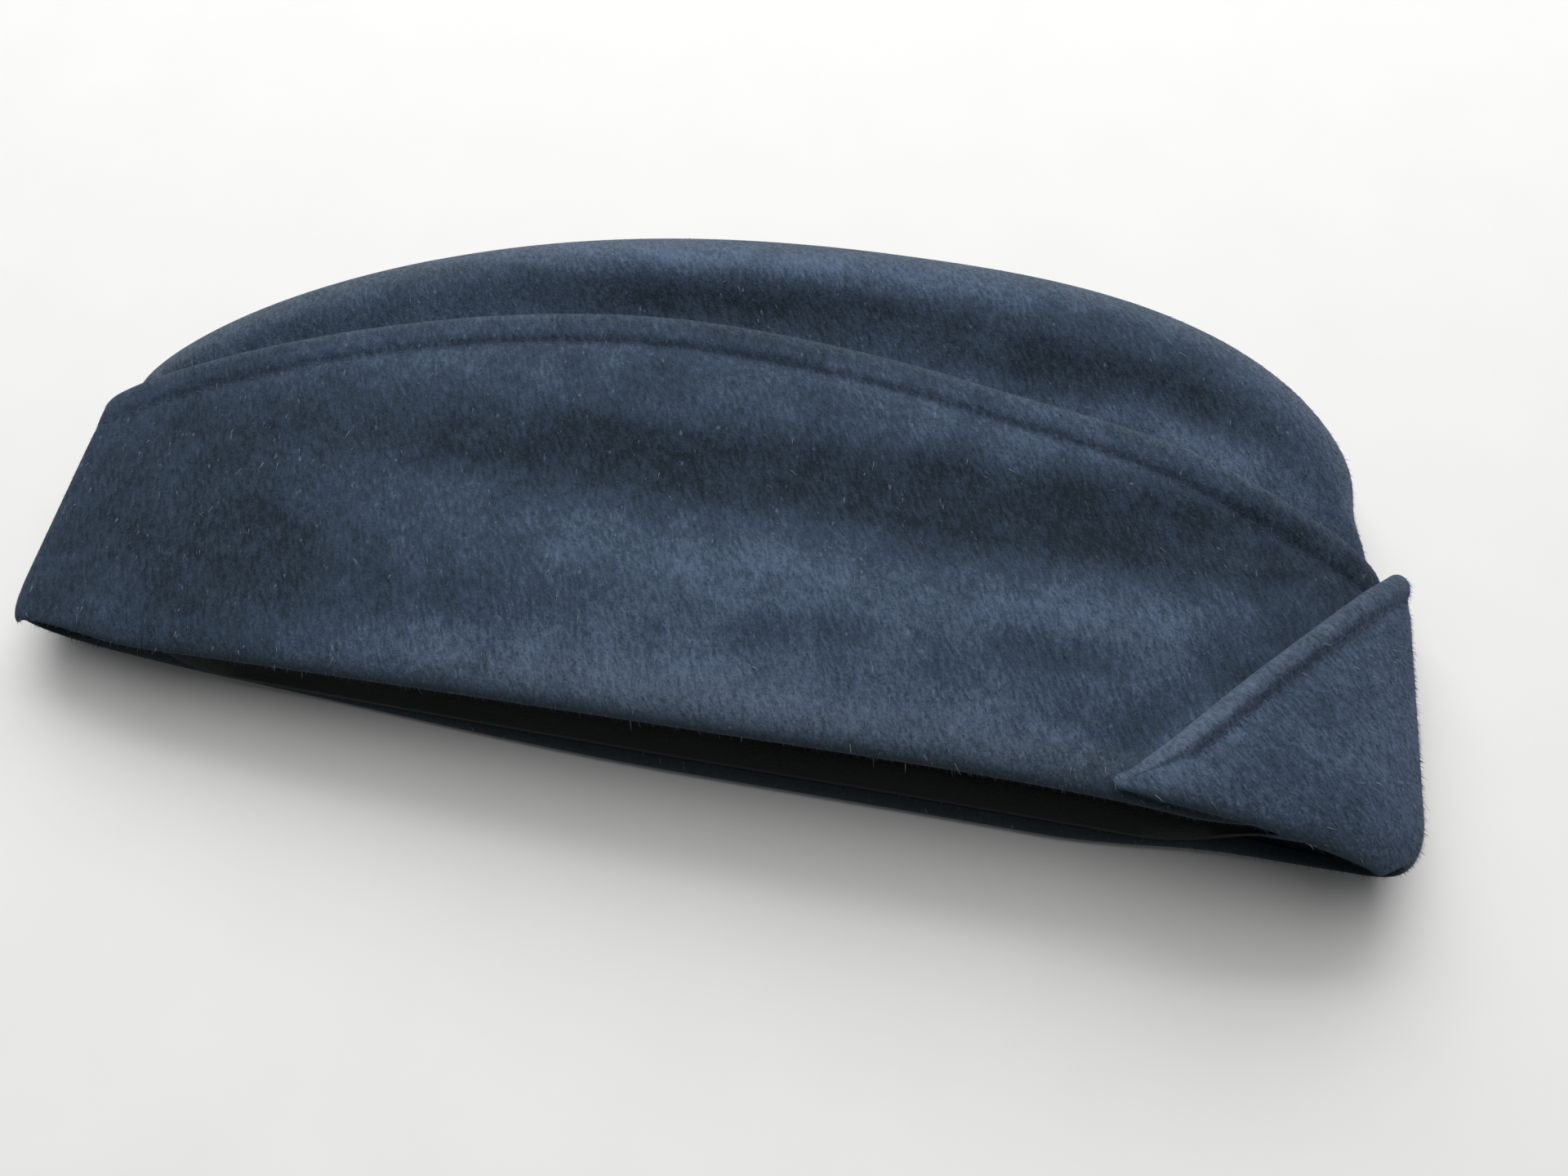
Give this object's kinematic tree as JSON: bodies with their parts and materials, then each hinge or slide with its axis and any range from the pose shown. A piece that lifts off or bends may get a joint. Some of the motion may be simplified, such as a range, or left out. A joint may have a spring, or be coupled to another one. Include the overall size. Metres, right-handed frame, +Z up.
{
  "type": "side cap",
  "caption": "Soft folding side cap of napped wool, lying flat, with an arched turn-up curtain, a slanted front lap that lifts, a lined crown and a leather sweatband.",
  "frame": {"origin": "middle of the base of the cap as it lies on its left side", "axes": "+X to the front of the cap along its length, +Y from the mouth to the crown's ridge, +Z up from the surface it lies on"},
  "size_m": [0.3012, 0.1382, 0.0363],
  "materials": {
    "wool": "dark navy napped wool, heathered, slightly worn at the edges",
    "canvas": "stiff unbleached canvas",
    "lining": "black cotton twill",
    "leather": "very dark brown grained leather",
    "edge_cord": "twisted cotton filler cord"
  },
  "bodies": {
    "cap": {"right_crown_panel": "wool", "left_crown_panel": "wool", "right_crown_lining": "lining", "left_crown_lining": "lining", "sweatband": "leather", "right_curtain": "wool", "right_curtain_interlining": "canvas", "right_curtain_facing": "wool", "right_edge_cord": "edge_cord", "left_curtain": "wool", "left_curtain_interlining": "canvas", "left_curtain_facing": "wool", "left_edge_cord": "edge_cord"},
    "front_lap": {"front_lap": "wool", "front_lap_interlining": "canvas", "front_lap_facing": "wool", "front_lap_edge_cord": "edge_cord"}
  },
  "joints": [
    {"name": "front_lap_lift", "type": "hinge", "parent": "cap", "child": "front_lap", "pos_m": [0.13653, -0.05534, 0.02746], "axis": [0, 1, 0], "range_deg": [0, 70]}
  ]
}
